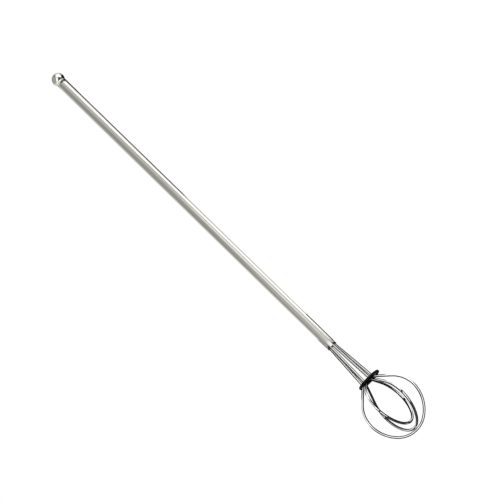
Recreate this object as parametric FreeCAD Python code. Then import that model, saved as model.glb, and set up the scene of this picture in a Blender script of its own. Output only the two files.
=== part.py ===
"""Wire whisk paint mixer: a slim steel tube with a ball knob on top and a three-loop wire cage below.

Frame: millimetres, +Z up along the tube. The origin is the centre of the tube's top end, under the ball.
The cage hangs below, so most of the tool has negative Z. Heights inside the head are written as a drop
below the tube's open lower end, which is called the mouth.
"""

import FreeCAD
import Part
import math
import os

from FreeCAD import Vector

# Driving dimensions
TUBE_LENGTH = 283.8
TUBE_DIAMETER = 8.0
TUBE_WALL = 0.5
BALL_DIAMETER = 9.8
BALL_SEAT_DIAMETER = 7.1
WIRE_DIAMETER = 2.0

# Shank: the solid insert that a chuck can squeeze, and the stud that carries the ball
INSERT_LENGTH = 45.0
STUD_DIAMETER = 4.0
STUD_IN_BALL = 6.0
STUD_IN_INSERT = 12.0
STUD_HOLE_SPARE = 0.5
THREAD_CLEARANCE = 0.02
PRESS_CLEARANCE = 0.01

# Neck: six wire tails in a ring inside the mouth, leaning out to the spreader disc
TAIL_RING_RADIUS = 2.42
TAIL_DEPTH = 40.0
MOUTH_BEND_RADIUS = 40.0
NECK_LEAN_DEG = 4.1
FLARE_DROP = 34.4
FLARE_RADIUS = 4.0

# Cage: each hand-bent loop's own size, how far it sits off centre in its plane, and how far its bottom is tilted
LOOP_NAMES = ("outer", "middle", "inner")
LOOP_TURN_DEG = -60.0
LOOP_HALF_WIDTH = (21.6, 21.0, 19.6)
LOOP_CENTRE_DROP = (61.0, 62.0, 57.0)
LOOP_LOWER_HEIGHT = (25.2, 22.0, 21.7)
LOOP_SWAY = (0.0, 1.2, 0.6)
LOOP_TILT_DEG = (6.0, 7.0, 0.0)
OVAL_JOIN_DEG = 50.0

# Wedge pin and seal that hold and close the wire tails inside the tube
WEDGE_CLEARANCE = 0.02
WEDGE_LENGTH = 26.0
WEDGE_RECESS = 5.0
WEDGE_NOSE = 4.0
WEDGE_TIP_RADIUS = 0.5
SEAL_LENGTH = 16.0
SEAL_OVERLAP = 8.0
SEAL_CLEARANCE = 0.01

# Spreader disc
DISC_DIAMETER = 19.6
DISC_THICKNESS = 1.7
DISC_DROP = 36.2
DISC_RIM_OFFSET = 1.2
DISC_EDGE = 0.5
DISC_HOLE_CLEARANCE = 0.12

EDGE_BREAK = 0.15

# Worked-out dimensions
TUBE_RADIUS = TUBE_DIAMETER / 2
BORE_RADIUS = TUBE_RADIUS - TUBE_WALL
BALL_RADIUS = BALL_DIAMETER / 2
BALL_CENTRE_Z = math.sqrt(BALL_RADIUS**2 - (BALL_SEAT_DIAMETER / 2) ** 2)
WIRE_RADIUS = WIRE_DIAMETER / 2
MOUTH_Z = -TUBE_LENGTH

UP = Vector(0, 0, 1)
ORIGIN = Vector(0, 0, 0)


def at_drop(radius, drop):
    """A point in the XZ plane, at a radius from the axis and a drop below the mouth."""
    return Vector(radius, 0, MOUTH_Z - drop)


def drop_of(point):
    return MOUTH_Z - point.z


def cylinder(radius, low_z, high_z):
    return Part.makeCylinder(radius, high_z - low_z, Vector(0, 0, low_z), UP)


def revolve(points):
    """A solid of revolution about Z from (radius, z) corners."""
    corners = [Vector(r, 0, z) for r, z in points]
    outline = Part.makePolygon(corners + corners[:1])
    return Part.Face(outline).revolve(ORIGIN, UP, 360)


def shaft_tube():
    """The drawn tube, with the edges of both ends broken."""
    e = EDGE_BREAK
    return revolve([
        (BORE_RADIUS, 0),
        (TUBE_RADIUS - e, 0),
        (TUBE_RADIUS, -e),
        (TUBE_RADIUS, MOUTH_Z + e),
        (TUBE_RADIUS - e, MOUTH_Z),
        (BORE_RADIUS, MOUTH_Z),
    ])


def shank_insert():
    """A solid rod pressed into the tube's top, so that the tube can be gripped there, tapped for the stud."""
    radius = BORE_RADIUS - PRESS_CLEARANCE
    hole_radius = STUD_DIAMETER / 2 + THREAD_CLEARANCE
    hole_depth = STUD_IN_INSERT + STUD_HOLE_SPARE
    rod = revolve([
        (0, 0),
        (radius, 0),
        (radius, -INSERT_LENGTH + 1),
        (radius - 0.6, -INSERT_LENGTH),
        (0, -INSERT_LENGTH),
    ])
    return rod.cut(cylinder(hole_radius, -hole_depth, 0))


def knob_stud():
    """The headless stud that joins the ball to the insert."""
    r = STUD_DIAMETER / 2
    e = 0.4
    return revolve([
        (0, -STUD_IN_INSERT),
        (r - e, -STUD_IN_INSERT),
        (r, -STUD_IN_INSERT + e),
        (r, STUD_IN_BALL - e),
        (r - e, STUD_IN_BALL),
        (0, STUD_IN_BALL),
    ])


def ball_knob():
    """The ball, with a flat seat on the tube's end and a blind tapped hole."""
    ball = Part.makeSphere(BALL_RADIUS, Vector(0, 0, BALL_CENTRE_Z))
    above_seat = cylinder(BALL_DIAMETER, 0, 2 * BALL_DIAMETER)
    hole_radius = STUD_DIAMETER / 2 + THREAD_CLEARANCE
    hole = cylinder(hole_radius, -1, STUD_IN_BALL + STUD_HOLE_SPARE)
    return ball.common(above_seat).cut(hole)


def heading(lean):
    """The direction of a wire that leans outward from straight down by this angle."""
    return at_drop(math.sin(lean), math.cos(lean)) - at_drop(0, 0)


def outward(lean):
    """The direction square to heading(lean), on the side away from the axis."""
    return at_drop(math.cos(lean), -math.sin(lean)) - at_drop(0, 0)


def arc(centre, radius, start, end, side):
    """An arc run from lean start to lean end. Side is 1 where the wire is outward of the centre, or -1."""
    points = [centre + outward(a) * (radius * side) for a in (start, (start + end) / 2, end)]
    return Part.Arc(*points).toShape(), points


def loop_half(index, side):
    """One half of a loop's centre line, from the end of its tail to the pole at the bottom of the cage.

    Above its widest place a loop is round, and below it two arcs make it a little longer than round.
    Sway moves the round part off the axis, and tilt turns the lower part about the round part's centre,
    both towards the half whose side is 1. The half is drawn on the +X side whichever it is.
    """
    lean = math.radians(NECK_LEAN_DEG)
    join = math.radians(OVAL_JOIN_DEG)
    tilt = math.radians(LOOP_TILT_DEG[index]) * side
    tail_top = at_drop(TAIL_RING_RADIUS, -TAIL_DEPTH)
    mouth = at_drop(TAIL_RING_RADIUS, 0)
    mouth_bend, bend_points = arc(mouth + outward(0) * MOUTH_BEND_RADIUS, MOUTH_BEND_RADIUS, 0, lean, -1)

    half_width = LOOP_HALF_WIDTH[index]
    lower = LOOP_LOWER_HEIGHT[index]
    spread = (lower - half_width) / (math.cos(join) + math.sin(join) - 1)
    side_radius = half_width + spread * math.cos(join)
    pole_radius = lower - spread * math.sin(join)
    centre = at_drop(LOOP_SWAY[index] * side, LOOP_CENTRE_DROP[index])
    side_centre = centre + outward(-tilt) * (half_width - side_radius)
    pole_centre = centre + heading(-tilt) * (lower - pole_radius)

    neck_top = bend_points[-1]
    neck_end = neck_top + heading(lean) * ((FLARE_DROP - drop_of(neck_top)) / math.cos(lean))
    flare_centre = neck_end + outward(lean) * FLARE_RADIUS
    between = centre - flare_centre
    exit_lean = math.acos(-(half_width + FLARE_RADIUS) / between.Length) + math.atan2(between.z, between.x)

    flare, flare_points = arc(flare_centre, FLARE_RADIUS, lean, exit_lean, -1)
    upper, upper_points = arc(centre, half_width, exit_lean, -tilt, 1)
    lower_side, _ = arc(side_centre, side_radius, -tilt, -join - tilt, 1)
    pole, _ = arc(pole_centre, pole_radius, -join - tilt, -math.pi / 2 - tilt, 1)
    return [
        Part.makeLine(tail_top, mouth),
        mouth_bend,
        Part.makeLine(neck_top, neck_end),
        flare,
        Part.makeLine(flare_points[-1], upper_points[0]),
        upper,
        lower_side,
        pole,
    ]


def loop_halves(index):
    """Both halves of a loop in the XZ plane, the +X one first."""
    right = loop_half(index, 1)
    left = [edge.mirror(ORIGIN, Vector(1, 0, 0)) for edge in loop_half(index, -1)]
    return right, left


def wire_loop(index, wire_radius=WIRE_RADIUS):
    """One loop of the cage: a single wire from its first tail, round the cage and back to its second tail."""
    right, left = loop_halves(index)
    path = Part.Wire(Part.__sortEdges__(right + left))
    start = at_drop(TAIL_RING_RADIUS, -TAIL_DEPTH)
    section = Part.Wire(Part.makeCircle(wire_radius, start, Vector(0, 0, -1)))
    loop = path.makePipeShell([section], True, False)
    loop.rotate(ORIGIN, UP, LOOP_TURN_DEG * index)
    return loop, path.Length


def wedge_pin():
    """The pin driven between the six tails from the mouth, nose first."""
    low = MOUTH_Z + WEDGE_RECESS
    high = low + WEDGE_LENGTH
    r = TAIL_RING_RADIUS - WIRE_RADIUS - WEDGE_CLEARANCE
    return revolve([(0, low), (r, low), (r, high - WEDGE_NOSE), (WEDGE_TIP_RADIUS, high), (0, high)])


def bore_seal():
    """The cast plug that closes the bore over the ends of the six tails."""
    low = MOUTH_Z + TAIL_DEPTH - SEAL_OVERLAP
    seal = cylinder(BORE_RADIUS - SEAL_CLEARANCE, low, low + SEAL_LENGTH)
    tail_top = MOUTH_Z + TAIL_DEPTH
    tail = Part.makeCylinder(WIRE_RADIUS + SEAL_CLEARANCE, tail_top - low, Vector(TAIL_RING_RADIUS, 0, low), UP)
    for index in range(2 * len(LOOP_NAMES)):
        turned = tail.copy()
        turned.rotate(ORIGIN, UP, LOOP_TURN_DEG * index)
        seal = seal.cut(turned)
    return seal


def spreader_disc():
    """The moulded disc that holds the six wires apart. Its rim is not quite concentric with its ring of holes."""
    r = DISC_DIAMETER / 2
    e = DISC_EDGE
    top = MOUTH_Z - DISC_DROP + DISC_THICKNESS / 2
    low = top - DISC_THICKNESS
    blank = revolve([(0, low), (r - e, low), (r, low + e), (r, top - e), (r - e, top), (0, top)])
    blank.translate(Vector(DISC_RIM_OFFSET, 0, 0))
    for index in range(len(LOOP_NAMES)):
        passage, _ = wire_loop(index, WIRE_RADIUS + DISC_HOLE_CLEARANCE)
        blank = blank.cut(passage)
    return blank


def save(name, shape):
    solids = shape.Solids
    assert len(solids) == 1 and solids[0].isValid(), name
    solids[0].exportStep(f"parts/{name}.step")
    print(f"{name}: {solids[0].Volume:.1f} mm3")


def main():
    os.makedirs("parts", exist_ok=True)
    save("shaft_tube", shaft_tube())
    save("shank_insert", shank_insert())
    save("knob_stud", knob_stud())
    save("ball_knob", ball_knob())
    lowest_z = 0
    for index, name in enumerate(LOOP_NAMES):
        loop, length = wire_loop(index)
        lowest_z = min(lowest_z, loop.optimalBoundingBox(False).ZMin)
        save(f"wire_loop_{name}", loop)
        print(f"  wire {length:.1f} mm long, section times length {math.pi * WIRE_RADIUS**2 * length:.1f} mm3")
    save("wedge_pin", wedge_pin())
    save("bore_seal", bore_seal())
    save("spreader_disc", spreader_disc())
    overall = BALL_CENTRE_Z + BALL_RADIUS - lowest_z
    print(f"{overall:.1f} mm overall, with {MOUTH_Z - lowest_z:.1f} mm of head below the mouth")


main()
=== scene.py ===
"""Looks for the wire whisk paint mixer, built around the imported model. Lengths are in metres."""

import math

import bmesh
import bpy
from mathutils import Matrix, Vector

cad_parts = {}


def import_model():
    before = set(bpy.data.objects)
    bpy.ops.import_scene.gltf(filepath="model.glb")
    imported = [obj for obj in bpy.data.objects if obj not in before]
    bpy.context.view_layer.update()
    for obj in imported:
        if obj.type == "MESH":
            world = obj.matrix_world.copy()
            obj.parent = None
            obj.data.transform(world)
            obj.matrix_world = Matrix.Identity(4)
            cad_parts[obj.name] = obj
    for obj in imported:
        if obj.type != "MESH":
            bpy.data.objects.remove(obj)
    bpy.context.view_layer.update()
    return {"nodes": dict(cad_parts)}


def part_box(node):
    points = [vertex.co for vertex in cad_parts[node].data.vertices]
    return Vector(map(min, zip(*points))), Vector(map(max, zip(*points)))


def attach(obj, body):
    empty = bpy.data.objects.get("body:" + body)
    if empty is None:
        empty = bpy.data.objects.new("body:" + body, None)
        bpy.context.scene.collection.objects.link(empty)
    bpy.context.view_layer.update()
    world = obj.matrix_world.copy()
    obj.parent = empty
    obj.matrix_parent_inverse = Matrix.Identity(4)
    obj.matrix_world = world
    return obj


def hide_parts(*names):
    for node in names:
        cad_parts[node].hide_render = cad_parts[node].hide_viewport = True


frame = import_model()

MM = 0.001

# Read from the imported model
TUBE_LOW, TUBE_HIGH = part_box("shaft_tube")
BALL_LOW, BALL_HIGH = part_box("ball_knob")
DISC_LOW, DISC_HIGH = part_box("spreader_disc")
OUTER_LOW, OUTER_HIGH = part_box("wire_loop_outer")
TUBE_RADIUS = (TUBE_HIGH[0] - TUBE_LOW[0]) / 2
MOUTH_Z = TUBE_LOW[2]
TUBE_TOP_Z = TUBE_HIGH[2]
BALL_RADIUS = (BALL_HIGH[0] - BALL_LOW[0]) / 2
BALL_CENTRE_Z = BALL_HIGH[2] - BALL_RADIUS
WIRE_RADIUS = (OUTER_HIGH[1] - OUTER_LOW[1]) / 2

# Repeated from the design
TUBE_WALL = 0.5 * MM
EDGE_BREAK = 0.15 * MM
TAIL_RING_RADIUS = 2.42 * MM
TAIL_DEPTH = 40 * MM
MOUTH_BEND_RADIUS = 40 * MM
NECK_LEAN = math.radians(4.1)
FLARE_DROP = 34.4 * MM
FLARE_RADIUS = 4 * MM
LOOP_NAMES = ("outer", "middle", "inner")
LOOP_TURN = math.radians(-60)
LOOP_HALF_WIDTH = (21.6 * MM, 21 * MM, 19.6 * MM)
LOOP_CENTRE_DROP = (61 * MM, 62 * MM, 57 * MM)
LOOP_LOWER_HEIGHT = (25.2 * MM, 22 * MM, 21.7 * MM)
LOOP_SWAY = (0.0, 1.2 * MM, 0.6 * MM)
LOOP_TILT = (math.radians(6), math.radians(7), 0.0)
OVAL_JOIN = math.radians(50)

# Disc
HOLE_PLAY = 0.12 * MM
DISC_ROUNDING_SHARE = 0.3

# Mesh fineness
CORNER_STEPS = 6
SHAFT_ROWS = 48
BALL_ROWS = 60
RIM_STEPS = 128
HOLE_STEPS = 40
LATHE_STEPS = 144
WIRE_STEPS = 32
ARC_STEP = math.radians(1.5)
LINE_STEP = 1.5 * MM
SHARP_ANGLE = math.radians(40)
BORE_DEPTH_SHARE = 0.9

# Camera: seen from a little under level, with the tool lying across the frame from upper left to lower right
CAMERA_AZIMUTH = math.radians(-1.8)
CAMERA_ELEVATION = math.radians(-12.0)
CAMERA_ROLL = math.radians(-45.8)
CAMERA_DISTANCE = 2.5
VIEW_WIDTH = 0.364
AIM = Vector((8.45 * MM, 0, MOUTH_Z + 93.35 * MM))

# Studio
FLOOR_Z = -3.2
FLOOR_REACH = 40.0
WORLD_LEVEL = 1.02
CORE_REACH = 50 * MM
DOME_LOWEST_Z = -0.5 * MM
SPARK_LOWEST_Z = -1.6 * MM


# ---------------------------------------------------------------- materials

class Recipe:
    """A material's node tree, with short helpers for the nodes that the materials share."""

    def __init__(self, name):
        self.material = bpy.data.materials.new(name)
        self.material.use_nodes = True
        self.nodes = self.material.node_tree.nodes
        self.links = self.material.node_tree.links
        self.shader = self.nodes["Principled BSDF"]

    def set(self, **values):
        for key, value in values.items():
            self.shader.inputs[key.replace("_", " ")].default_value = value

    def join(self, source, target):
        self.links.new(source, target)

    def coords(self, kind, scale):
        """Texture coordinates of a kind ("UV" or "Object"), stretched by scale."""
        source = self.nodes.new("ShaderNodeTexCoord")
        mapping = self.nodes.new("ShaderNodeMapping")
        mapping.inputs["Scale"].default_value = scale
        self.join(source.outputs[kind], mapping.inputs["Vector"])
        return mapping.outputs["Vector"]

    def noise(self, vector, detail=3.0, rough=0.5):
        """Noise whose fineness comes from its coordinates alone."""
        node = self.nodes.new("ShaderNodeTexNoise")
        node.inputs["Scale"].default_value = 1
        node.inputs["Detail"].default_value = detail
        node.inputs["Roughness"].default_value = rough
        self.join(vector, node.inputs["Vector"])
        return node.outputs["Fac"]

    def voronoi(self, vector, scale):
        node = self.nodes.new("ShaderNodeTexVoronoi")
        node.inputs["Scale"].default_value = scale
        self.join(vector, node.inputs["Vector"])
        return node.outputs["Distance"]

    def spread(self, value, low, high, to_low, to_high):
        """value, mapped from low..high to to_low..to_high and held there."""
        node = self.nodes.new("ShaderNodeMapRange")
        for key, number in zip(("From Min", "From Max", "To Min", "To Max"), (low, high, to_low, to_high)):
            node.inputs[key].default_value = number
        self.join(value, node.inputs["Value"])
        return node.outputs["Result"]

    def combine(self, operation, a, b):
        node = self.nodes.new("ShaderNodeMath")
        node.operation = operation
        for socket, value in zip(node.inputs, (a, b)):
            if isinstance(value, float):
                socket.default_value = value
            else:
                self.join(value, socket)
        return node.outputs["Value"]

    def tint(self, value, dark, light):
        node = self.nodes.new("ShaderNodeMix")
        node.data_type = "RGBA"
        node.inputs["A"].default_value = (*dark, 1)
        node.inputs["B"].default_value = (*light, 1)
        self.join(value, node.inputs["Factor"])
        return node.outputs["Result"]

    def bump(self, height, strength, distance, under=None):
        node = self.nodes.new("ShaderNodeBump")
        node.inputs["Strength"].default_value = strength
        node.inputs["Distance"].default_value = distance
        self.join(height, node.inputs["Height"])
        if under is not None:
            self.join(under, node.inputs["Normal"])
        return node.outputs["Normal"]

    def finish(self, colour, roughness, normal):
        self.join(colour, self.shader.inputs["Base Color"])
        self.join(roughness, self.shader.inputs["Roughness"])
        self.join(normal, self.shader.inputs["Normal"])
        return self.material


def brushed_tube_steel():
    """Drawn tube: fine lines along its length, in soft bands, with faint handling marks."""
    r = Recipe("brushed_tube_steel")
    r.set(Metallic=1.0)
    fine = r.noise(r.coords("UV", (95, 9, 1)), detail=4, rough=0.6)
    bands = r.noise(r.coords("UV", (17, 2.2, 1)), detail=2)
    marks = r.noise(r.coords("Object", (90, 90, 40)), detail=3, rough=0.6)
    streaks = r.combine("ADD", r.combine("MULTIPLY", fine, 0.55), r.combine("MULTIPLY", bands, 0.45))
    colour = r.tint(r.spread(streaks, 0.36, 0.64, 0, 1), (0.50, 0.495, 0.465), (0.66, 0.655, 0.63))
    gloss = r.combine("ADD", r.spread(fine, 0.3, 0.7, 0.11, 0.19), r.spread(marks, 0.5, 0.75, 0, 0.06))
    normal = r.bump(bands, 0.25, 0.05 * MM, r.bump(fine, 0.35, 0.012 * MM))
    return r.finish(colour, gloss, normal)


def bore_painted_shade_steel():
    """The tube's bore: a near-black colour that paints the shade inside the tube, with drawing lines along
    it.
    """
    r = Recipe("bore_painted_shade_steel")
    r.set(Metallic=0.6)
    scale = r.noise(r.coords("Object", (420, 420, 90)), detail=4, rough=0.6)
    lines = r.noise(r.coords("UV", (60, 12, 1)), detail=3)
    # painted shade: the near-black tint stands in for the shade inside the tube, and the noise only mottles
    # it
    colour = r.tint(r.spread(scale, 0.35, 0.65, 0, 1), (0.012, 0.011, 0.010), (0.045, 0.042, 0.038))
    gloss = r.spread(scale, 0.3, 0.7, 0.5, 0.7)
    return r.finish(colour, gloss, r.bump(lines, 0.4, 0.02 * MM))


def drawn_wire_chrome():
    """Bright plated wire: drawing lines along it, a faint ripple from bending, and a little haze."""
    r = Recipe("drawn_wire_chrome")
    r.set(Metallic=1.0)
    lines = r.noise(r.coords("UV", (30, 60, 1)), detail=3)
    ripple = r.noise(r.coords("UV", (2, 260, 1)), detail=1)
    haze = r.noise(r.coords("Object", (160, 160, 160)), detail=4, rough=0.6)
    colour = r.tint(r.spread(haze, 0.35, 0.65, 0, 1), (0.76, 0.76, 0.75), (0.88, 0.88, 0.875))
    gloss = r.combine("ADD", r.spread(lines, 0.3, 0.7, 0.05, 0.09), r.spread(haze, 0.5, 0.7, 0, 0.05))
    normal = r.bump(ripple, 0.12, 0.04 * MM, r.bump(lines, 0.2, 0.006 * MM))
    return r.finish(colour, gloss, normal)


def polished_ball_chrome():
    """Mirror plating with fingertip smudges and a few hairline scratches round it."""
    r = Recipe("polished_ball_chrome")
    r.set(Metallic=1.0)
    smudge = r.noise(r.coords("Object", (260, 260, 260)), detail=5, rough=0.65)
    hairlines = r.noise(r.coords("UV", (6, 420, 1)), detail=2)
    colour = r.tint(r.spread(smudge, 0.4, 0.7, 0, 1), (0.80, 0.80, 0.79), (0.72, 0.72, 0.70))
    haze = r.spread(smudge, 0.5, 0.75, 0.025, 0.10)
    gloss = r.combine("ADD", haze, r.spread(hairlines, 0.62, 0.75, 0, 0.05))
    return r.finish(colour, gloss, r.bump(hairlines, 0.08, 0.004 * MM))


def moulded_black():
    """Satin black plastic with a spark-eroded grain and a faint cloudy tone."""
    r = Recipe("moulded_black")
    r.set(Specular_IOR_Level=0.12)
    grain = r.voronoi(r.coords("Object", (1, 1, 1)), 5200)
    cloud = r.noise(r.coords("Object", (240, 240, 240)), detail=4, rough=0.6)
    colour = r.tint(r.spread(cloud, 0.35, 0.7, 0, 1), (0.0015, 0.0015, 0.0016), (0.006, 0.006, 0.0065))
    gloss = r.spread(cloud, 0.3, 0.7, 0.32, 0.48)
    return r.finish(colour, gloss, r.bump(grain, 0.35, 0.012 * MM))


def turned_steel():
    """Plain steel off the lathe: feed lines round it and dull oil stains."""
    r = Recipe("turned_steel")
    r.set(Metallic=1.0)
    feed = r.noise(r.coords("Object", (0, 0, 5200)), detail=2)
    stain = r.noise(r.coords("Object", (300, 300, 300)), detail=4, rough=0.6)
    colour = r.tint(r.spread(stain, 0.35, 0.65, 0, 1), (0.30, 0.295, 0.285), (0.44, 0.44, 0.44))
    gloss = r.spread(stain, 0.3, 0.7, 0.28, 0.42)
    return r.finish(colour, gloss, r.bump(feed, 0.4, 0.01 * MM))


def cast_resin():
    """Cloudy cast resin with small bubbles."""
    r = Recipe("cast_resin")
    cloud = r.noise(r.coords("Object", (400, 400, 400)), detail=4, rough=0.6)
    bubbles = r.voronoi(r.coords("Object", (1, 1, 1)), 1500)
    colour = r.tint(r.spread(cloud, 0.3, 0.7, 0, 1), (0.16, 0.13, 0.09), (0.30, 0.26, 0.19))
    gloss = r.spread(cloud, 0.3, 0.7, 0.25, 0.45)
    return r.finish(colour, gloss, r.bump(r.spread(bubbles, 0, 0.25, 0, 1), 0.5, 0.05 * MM))


# ---------------------------------------------------------------- mesh helpers

def finish_piece(name, mesh, material, slot, *nodes):
    """Puts a finished mesh in the scene as the piece that stands for these CAD nodes."""
    for polygon in mesh.polygons:
        polygon.use_smooth = True
    mesh.set_sharp_from_angle(angle=SHARP_ANGLE)
    piece = bpy.data.objects.new(name, mesh)
    bpy.context.scene.collection.objects.link(piece)
    mesh.materials.append(material)
    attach(piece, "root")
    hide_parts(*nodes)


def corner(centre, radius, start_deg, end_deg):
    """Points on an arc of an outline, in (radius from the axis, z)."""
    turn_deg = end_deg - start_deg
    angles = [math.radians(start_deg + turn_deg * i / CORNER_STEPS) for i in range(CORNER_STEPS + 1)]
    return [(centre[0] + radius * math.cos(a), centre[1] + radius * math.sin(a)) for a in angles]


def lathe(name, outline, closed):
    """A mesh turned about Z from (radius, z) points. UV runs round it in turns and along it in metres."""
    bm = bmesh.new()
    uv = bm.loops.layers.uv.new("UVMap")
    following = outline[1:] + outline[:1] if closed else outline[1:]
    reach = [0.0]
    for a, b in zip(outline, following):
        reach.append(reach[-1] + math.dist(a, b))
    rings = []
    for radius, z in outline:
        if radius == 0:
            rings.append([bm.verts.new((0, 0, z))] * LATHE_STEPS)
            continue
        turn = [2 * math.pi * i / LATHE_STEPS for i in range(LATHE_STEPS)]
        rings.append([bm.verts.new((radius * math.cos(t), radius * math.sin(t), z)) for t in turn])
    count = len(rings) if closed else len(rings) - 1
    for row in range(count):
        lower, upper = rings[row], rings[(row + 1) % len(rings)]
        for i in range(LATHE_STEPS):
            j = (i + 1) % LATHE_STEPS
            corners = (
                (lower[i], i, row),
                (lower[j], i + 1, row),
                (upper[j], i + 1, row + 1),
                (upper[i], i, row + 1),
            )
            seen = []
            for entry in corners:
                if entry[0] not in [s[0] for s in seen]:
                    seen.append(entry)
            face = bm.faces.new([s[0] for s in seen])
            for loop, (_, turn_index, row_index) in zip(face.loops, seen):
                loop[uv].uv = (turn_index / LATHE_STEPS, reach[row_index])
    bmesh.ops.recalc_face_normals(bm, faces=bm.faces)
    mesh = bpy.data.meshes.new(name)
    bm.to_mesh(mesh)
    bm.free()
    return mesh


# ---------------------------------------------------------------- shaft and ball

def shaft_outline():
    """The tube's wall, with its ends rolled over a little rather than cut square."""
    outer = TUBE_RADIUS
    bore = TUBE_RADIUS - TUBE_WALL
    e = EDGE_BREAK
    points = corner((outer - e, MOUTH_Z + e), e, -90, 0)
    straight = TUBE_TOP_Z - MOUTH_Z - 2 * e
    points += [(outer, MOUTH_Z + e + straight * i / SHAFT_ROWS) for i in range(1, SHAFT_ROWS)]
    points += corner((outer - e, TUBE_TOP_Z - e), e, 0, 90)
    points += corner((bore + e / 2, TUBE_TOP_Z - e / 2), e / 2, 90, 180)
    points += corner((bore + e / 2, MOUTH_Z + e / 2), e / 2, 180, 270)
    return points


def ball_outline():
    """The ball from its flat seat to its pole, with the seat's edge eased."""
    seat = math.asin((TUBE_TOP_Z - BALL_CENTRE_Z) / BALL_RADIUS)
    angles = [seat + (math.pi / 2 - seat) * i / BALL_ROWS for i in range(BALL_ROWS)]
    points = [(0, TUBE_TOP_Z), (BALL_RADIUS * math.cos(seat) - EDGE_BREAK, TUBE_TOP_Z)]
    points += [(BALL_RADIUS * math.cos(a), BALL_CENTRE_Z + BALL_RADIUS * math.sin(a)) for a in angles]
    points.append((0, BALL_CENTRE_Z + BALL_RADIUS))
    return points


# ---------------------------------------------------------------- wire loops

def drop_point(radius, drop):
    return Vector((radius, 0, MOUTH_Z - drop))


def heading(lean):
    return Vector((math.sin(lean), 0, -math.cos(lean)))


def outward(lean):
    return Vector((math.cos(lean), 0, math.sin(lean)))


def along_line(start, end):
    count = max(2, round((end - start).length / LINE_STEP))
    return [(start.lerp(end, i / count), (end - start).normalized()) for i in range(count)]


def along_arc(centre, radius, start, end, side):
    """(point, heading) pairs from lean start to lean end.

    Side is 1 where the wire is outward of the centre, and -1 where it is inward.
    """
    count = max(4, round(abs(end - start) / ARC_STEP))
    leans = [start + (end - start) * i / count for i in range(count)]
    return [(centre + outward(a) * (radius * side), heading(a)) for a in leans]


def loop_half(index, side):
    """(point, heading) pairs from the end of a tail to the pole at the bottom of the cage."""
    tilt = LOOP_TILT[index] * side
    mouth = drop_point(TAIL_RING_RADIUS, 0)
    bend_centre = mouth + outward(0) * MOUTH_BEND_RADIUS
    neck_top = bend_centre - outward(NECK_LEAN) * MOUTH_BEND_RADIUS
    neck_length = (FLARE_DROP - (MOUTH_Z - neck_top.z)) / math.cos(NECK_LEAN)
    neck_end = neck_top + heading(NECK_LEAN) * neck_length
    flare_centre = neck_end + outward(NECK_LEAN) * FLARE_RADIUS

    half_width = LOOP_HALF_WIDTH[index]
    lower = LOOP_LOWER_HEIGHT[index]
    centre = drop_point(LOOP_SWAY[index] * side, LOOP_CENTRE_DROP[index])
    spread = (lower - half_width) / (math.cos(OVAL_JOIN) + math.sin(OVAL_JOIN) - 1)
    side_radius = half_width + spread * math.cos(OVAL_JOIN)
    pole_radius = lower - spread * math.sin(OVAL_JOIN)
    side_centre = centre + outward(-tilt) * (half_width - side_radius)
    pole_centre = centre + heading(-tilt) * (lower - pole_radius)

    between = centre - flare_centre
    between_lean = math.atan2(between.z, between.x)
    exit_lean = math.acos(-(half_width + FLARE_RADIUS) / between.length) + between_lean
    flare_end = flare_centre - outward(exit_lean) * FLARE_RADIUS

    path = along_line(drop_point(TAIL_RING_RADIUS, -TAIL_DEPTH), mouth)
    path += along_arc(bend_centre, MOUTH_BEND_RADIUS, 0, NECK_LEAN, -1)
    path += along_line(neck_top, neck_end)
    path += along_arc(flare_centre, FLARE_RADIUS, NECK_LEAN, exit_lean, -1)
    path += along_line(flare_end, centre + outward(exit_lean) * half_width)
    path += along_arc(centre, half_width, exit_lean, -tilt, 1)
    path += along_arc(side_centre, side_radius, -tilt, -OVAL_JOIN - tilt, 1)
    path += along_arc(pole_centre, pole_radius, -OVAL_JOIN - tilt, -math.pi / 2 - tilt, 1)
    path.append((pole_centre + heading(-tilt) * pole_radius, heading(-math.pi / 2 - tilt)))
    return path


def mirrored(pair):
    point, way = pair
    return Vector((-point.x, 0, point.z)), Vector((way.x, 0, -way.z))


def wire_loop(index, material):
    """One wire, swept down one side, round the pole and up the other."""
    right = loop_half(index, 1)
    left = loop_half(index, -1)
    path = right + [mirrored(pair) for pair in reversed(left[:-1])]
    bm = bmesh.new()
    uv = bm.loops.layers.uv.new("UVMap")
    rings = []
    reach = [0.0]
    for (a, _), (b, _) in zip(path, path[1:]):
        reach.append(reach[-1] + (b - a).length)
    across = Vector((0, 1, 0))
    for point, way in path:
        side = way.cross(across)
        ring = []
        for i in range(WIRE_STEPS):
            turn = 2 * math.pi * i / WIRE_STEPS
            offset = side * math.cos(turn) + across * math.sin(turn)
            ring.append(bm.verts.new(point + offset * WIRE_RADIUS))
        rings.append(ring)
    for row, (a, b) in enumerate(zip(rings, rings[1:])):
        for i in range(WIRE_STEPS):
            j = (i + 1) % WIRE_STEPS
            face = bm.faces.new((a[i], a[j], b[j], b[i]))
            spots = ((i, row), (i + 1, row), (i + 1, row + 1), (i, row + 1))
            for loop, (turn_index, row_index) in zip(face.loops, spots):
                loop[uv].uv = (turn_index / WIRE_STEPS, reach[row_index])
    bm.faces.new(rings[0])
    bm.faces.new(rings[-1])
    bmesh.ops.recalc_face_normals(bm, faces=bm.faces)
    bm.transform(Matrix.Rotation(LOOP_TURN * index, 4, "Z"))
    name = LOOP_NAMES[index]
    mesh = bpy.data.meshes.new(f"whisk_wire_{name}")
    bm.to_mesh(mesh)
    bm.free()
    finish_piece(f"whisk_wire_{name}", mesh, material, "wire", f"wire_loop_{name}")


# ---------------------------------------------------------------- spreader disc

def radius_at(z):
    """How far a wire's centre line is from the axis where it passes this height."""
    path = loop_half(0, 1)
    for (a, _), (b, _) in zip(path, path[1:]):
        if a.z >= z >= b.z:
            return a.lerp(b, (a.z - z) / (a.z - b.z)).x
    raise ValueError(z)


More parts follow.
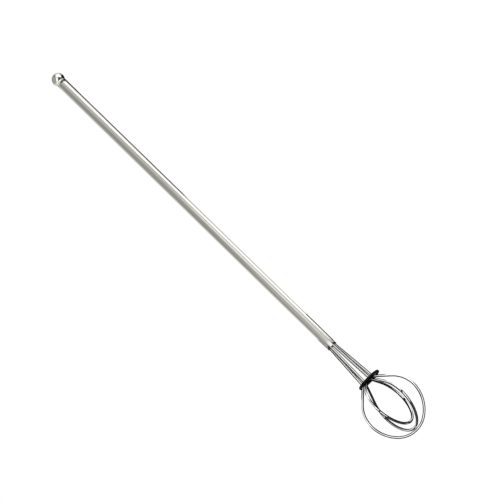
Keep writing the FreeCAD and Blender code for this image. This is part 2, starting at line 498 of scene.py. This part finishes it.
def closed_outline(curve, centre, turn, along, across, steps):
    """Adds an oval to a 2-D curve, turned so that its long way points along turn."""
    spline = curve.splines.new("POLY")
    spline.points.add(steps - 1)
    for i, point in enumerate(spline.points):
        t = 2 * math.pi * i / steps
        x, y = along * math.cos(t), across * math.sin(t)
        rotated = (x * math.cos(turn) - y * math.sin(turn), x * math.sin(turn) + y * math.cos(turn))
        point.co = (centre[0] + rotated[0], centre[1] + rotated[1], 0, 1)
    spline.use_cyclic_u = True


def spreader_disc(material):
    """The disc: rounded rim, and six holes that the leaning wires pass through."""
    thickness = DISC_HIGH[2] - DISC_LOW[2]
    radius = (DISC_HIGH[0] - DISC_LOW[0]) / 2
    middle = (Vector(DISC_LOW) + Vector(DISC_HIGH)) / 2
    rounding = DISC_ROUNDING_SHARE * thickness
    curve = bpy.data.curves.new("disc_outline", "CURVE")
    curve.dimensions = "2D"
    curve.fill_mode = "BOTH"
    curve.bevel_depth = rounding
    curve.bevel_resolution = 5
    curve.extrude = thickness / 2 - rounding
    curve.offset = -rounding
    closed_outline(curve, (middle.x, 0), 0, radius, radius, RIM_STEPS)
    top, low = radius_at(DISC_HIGH[2]), radius_at(DISC_LOW[2])
    hole_ring = (top + low) / 2
    hole_along = (low - top) / 2 + WIRE_RADIUS + HOLE_PLAY
    hole_across = WIRE_RADIUS + HOLE_PLAY
    for index in range(2 * len(LOOP_NAMES)):
        turn = LOOP_TURN * index
        hole_centre = (hole_ring * math.cos(turn), hole_ring * math.sin(turn))
        closed_outline(curve, hole_centre, turn, hole_along, hole_across, HOLE_STEPS)
    source = bpy.data.objects.new("disc_outline", curve)
    bpy.context.scene.collection.objects.link(source)
    bpy.context.view_layer.update()
    evaluated = source.evaluated_get(bpy.context.evaluated_depsgraph_get())
    mesh = bpy.data.meshes.new_from_object(evaluated)
    bpy.data.objects.remove(source)
    mesh.name = "whisk_disc"
    mesh.transform(Matrix.Translation((0, 0, middle.z)))
    finish_piece("whisk_disc", mesh, material, "disc", "spreader_disc")


# ---------------------------------------------------------------- stage

def emission(name, level, tint=(1, 1, 1)):
    material = bpy.data.materials.new(name)
    material.use_nodes = True
    nodes = material.node_tree.nodes
    nodes.clear()
    light = nodes.new("ShaderNodeEmission")
    light.inputs["Color"].default_value = (*tint, 1)
    light.inputs["Strength"].default_value = level
    output = nodes.new("ShaderNodeOutputMaterial")
    material.node_tree.links.new(light.outputs["Emission"], output.inputs["Surface"])
    return material


def reflector(name, mesh, level, tint=(1, 1, 1)):
    """A studio card that shows only in reflections."""
    card = bpy.data.objects.new(name, mesh)
    bpy.context.scene.collection.objects.link(card)
    mesh.materials.append(emission(name, level, tint))
    card.visible_camera = False
    card.visible_diffuse = False
    card.visible_shadow = False
    card.visible_transmission = False


def grid_mesh(name, columns, rows, place, lowest_z=-math.inf):
    """A sheet of quads. Place gives a point for a fraction across and a fraction up.

    Quads that lie wholly below the lowest z are left out.
    """
    bm = bmesh.new()
    lines = []
    for k in range(rows + 1):
        lines.append([bm.verts.new(place(i / columns, k / rows)) for i in range(columns + 1)])
    for low, high in zip(lines, lines[1:]):
        for i in range(columns):
            corners = (low[i], low[i + 1], high[i + 1], high[i])
            if max(v.co.z for v in corners) > lowest_z:
                bm.faces.new(corners)
    mesh = bpy.data.meshes.new(name)
    bm.to_mesh(mesh)
    bm.free()
    return mesh


def wall(name, radius, angles, heights, level, tint=(1, 1, 1), shift_deg=0):
    """A card curved about the tube's axis. Angles go from the camera's side towards +X.

    The top of a card with a shift is turned that much further than its bottom.
    """
    def place(across, up):
        a = math.radians(angles[0] + (angles[1] - angles[0]) * across + shift_deg * up)
        z = heights[0] + (heights[1] - heights[0]) * up
        return radius * math.sin(a), -radius * math.cos(a), z

    reflector(name, grid_mesh(name, 16, 10, place), level, tint)


def hoop(name, centre_z, radius, depths, angles, level):
    """A card curved about a line along Y through the cage. Angles go from straight down towards +X."""
    def place(across, up):
        a = math.radians(angles[0] + (angles[1] - angles[0]) * across)
        return radius * math.sin(a), depths[0] + (depths[1] - depths[0]) * up, centre_z - radius * math.cos(a)

    reflector(name, grid_mesh(name, 40, 4, place), level)


def plate(name, half_size, centre_z, level):
    """A flat card along Y that crosses the cage. Half size is its reach from its middle along X and Z."""
    def place(across, up):
        way = 2 * up - 1
        return half_size[0] * way, CORE_REACH * (2 * across - 1), centre_z + half_size[1] * way

    reflector(name, grid_mesh(name, 4, 4, place), level)


def dome_card(name, radius, across_deg, up_deg, level, tint=(1, 1, 1), lowest_z=DOME_LOWEST_Z):
    """A card on a small globe round the ball. Both angles are zero on the camera's side."""
    view = camera_matrix().to_3x3()
    right, upward, towards = view.col[0], view.col[1], view.col[2]

    def place(across, up):
        a = math.radians(across_deg[0] + (across_deg[1] - across_deg[0]) * across)
        b = math.radians(up_deg[0] + (up_deg[1] - up_deg[0]) * up)
        level_way = towards * math.cos(a) + right * math.sin(a)
        return Vector((0, 0, BALL_CENTRE_Z)) + (level_way * math.cos(b) + upward * math.sin(b)) * radius

    reflector(name, grid_mesh(name, 24, 24, place, lowest_z), level, tint)


def studio():
    """Cards that only reflections show: wide pale ones round the tube, and small ones close to its ends.

    They are set for the photo's view. The level plate cuts through four wires of the cage, which no real card
    could do, and from other sides the black cards show as dark bands on the metal.
    """
    cage_z = MOUTH_Z - LOOP_CENTRE_DROP[0]
    warm = (1, 0.985, 0.94)
    wall("card_grey_left", 0.6, (-100, -16), (-0.75, 0.4), 0.47, warm)
    wall("card_soft_front", 0.7, (-16, 120), (-0.75, 0.4), 0.78, (1, 0.995, 0.98))
    wall("strip_front", 0.52, (7, 26), (-0.17, -0.02), 1.6)
    wall("strip_right", 0.5, (58, 106), (-0.19, 0.26), 1.9, shift_deg=-32)
    wall("flag_ball_right", 0.12, (110, 160), (-0.10, 0.07), 0.006)
    wall("flag_ball_end", 0.05, (98, 160), (-0.002, 0.04), 0.006)
    wall("card_left_low", 0.58, (-60, -8), (-0.20, -0.085), 0.66, warm)
    wall("flag_mouth_right", 0.03, (106, 178), (-0.278, -0.248), 0.003)
    wall("flag_mouth_left", 0.03, (-155, -112), (-0.278, -0.268), 0.08)
    wall("card_head_front", 0.55, (-32, 34), (-0.77, -0.205), 1.6)
    wall("flag_neck_right", 0.02, (38, 170), (-0.317, -0.2805), 0.003)
    wall("flag_neck_left", 0.02, (-170, -38), (-0.317, -0.2805), 0.02)
    wall("flag_head_back", 0.34, (140, 220), (-0.47, -0.30), 0.01)
    hoop("flag_head", cage_z, 0.13, (-0.20, 0.36), (-100, 100), 0.05)
    plate("flag_core_upright", (0, 0.018), cage_z, 0.004)
    plate("flag_core_level", (0.016, 0), cage_z, 0.004)
    dome_card("ball_softbox", 0.0100, (-46, 44), (28, 90), 1.35)
    dome_card("ball_top", 0.0100, (100, 260), (50, 90), 0.55)
    dome_card("ball_notch", 0.0102, (-72, -46), (26, 56), 0.10)
    dome_card("ball_grey", 0.0105, (-132, -24), (-52, 54), 0.42, warm)
    dome_card("ball_rim", 0.0105, (-180, -132), (-60, 58), 0.10)
    dome_card("ball_streak", 0.0072, (-21, -2), (-26, 16), 1.3)
    dome_card("ball_line", 0.0074, (2, 15), (-32, 26), 0.01)
    dome_card("ball_shade", 0.0076, (15, 47), (-45, 25), 0.14, warm)
    dome_card("ball_dark", 0.0078, (47, 180), (-90, 50), 0.005)
    dome_card("ball_spark", 0.0062, (-20, 6), (-72, -28), 1.15, (1, 1, 0.74), SPARK_LOWEST_Z)


def world():
    """Even white surroundings."""
    surroundings = bpy.data.worlds.new("white")
    surroundings.use_nodes = True
    background = surroundings.node_tree.nodes["Background"]
    background.inputs["Color"].default_value = (1, 1, 1, 1)
    background.inputs["Strength"].default_value = WORLD_LEVEL
    surroundings.cycles.sampling_method = "NONE"
    bpy.context.scene.world = surroundings


def floor():
    bm = bmesh.new()
    bmesh.ops.create_grid(bm, x_segments=8, y_segments=8, size=FLOOR_REACH)
    mesh = bpy.data.meshes.new("floor")
    bm.to_mesh(mesh)
    bm.free()
    plane = bpy.data.objects.new("floor", mesh)
    plane.location.z = FLOOR_Z
    bpy.context.scene.collection.objects.link(plane)
    material = bpy.data.materials.new("floor_pale")
    material.use_nodes = True
    shader = material.node_tree.nodes["Principled BSDF"]
    shader.inputs["Base Color"].default_value = (0.86, 0.86, 0.85, 1)
    shader.inputs["Roughness"].default_value = 0.9
    mesh.materials.append(material)


def camera_matrix():
    back = Vector((
        math.sin(CAMERA_AZIMUTH) * math.cos(CAMERA_ELEVATION),
        -math.cos(CAMERA_AZIMUTH) * math.cos(CAMERA_ELEVATION),
        math.sin(CAMERA_ELEVATION),
    ))
    level = back.to_track_quat("Z", "Y").to_matrix().to_4x4()
    return Matrix.Translation(AIM + back * CAMERA_DISTANCE) @ level @ Matrix.Rotation(CAMERA_ROLL, 4, "Z")


def camera():
    data = bpy.data.cameras.new("camera")
    data.sensor_width = 36
    data.lens = data.sensor_width * CAMERA_DISTANCE / VIEW_WIDTH
    data.clip_end = 50
    view = bpy.data.objects.new("camera", data)
    bpy.context.scene.collection.objects.link(view)
    view.matrix_world = camera_matrix()
    bpy.context.scene.camera = view


def carry_over(node, material):
    """A hidden CAD node keeps its shape and gets its material."""
    mesh = frame["nodes"][node].data
    mesh.materials.clear()
    mesh.materials.append(material)


def paint_bore_shade(mesh, material):
    """Gives the faces of the tube's bore their own material, a painted shade, after the tube's."""
    mesh.materials.append(material)
    bore_limit = TUBE_RADIUS - BORE_DEPTH_SHARE * TUBE_WALL
    for polygon in mesh.polygons:
        if math.hypot(polygon.center.x, polygon.center.y) < bore_limit:
            polygon.material_index = 1


def build():
    chrome = drawn_wire_chrome()
    steel = turned_steel()
    shaft = lathe("whisk_shaft", shaft_outline(), True)
    finish_piece("whisk_shaft", shaft, brushed_tube_steel(), "shaft", "shaft_tube")
    # the bore gets painted shade: a near-black material in place of the shade inside the tube
    paint_bore_shade(shaft, bore_painted_shade_steel())
    ball = lathe("whisk_ball", ball_outline(), False)
    finish_piece("whisk_ball", ball, polished_ball_chrome(), "ball", "ball_knob")
    for index in range(len(LOOP_NAMES)):
        wire_loop(index, chrome)
    spreader_disc(moulded_black())
    for node in ("knob_stud", "shank_insert", "wedge_pin"):
        carry_over(node, steel)
    carry_over("bore_seal", cast_resin())


build()
studio()
world()
floor()
camera()
bpy.context.scene.view_settings.view_transform = "Standard"
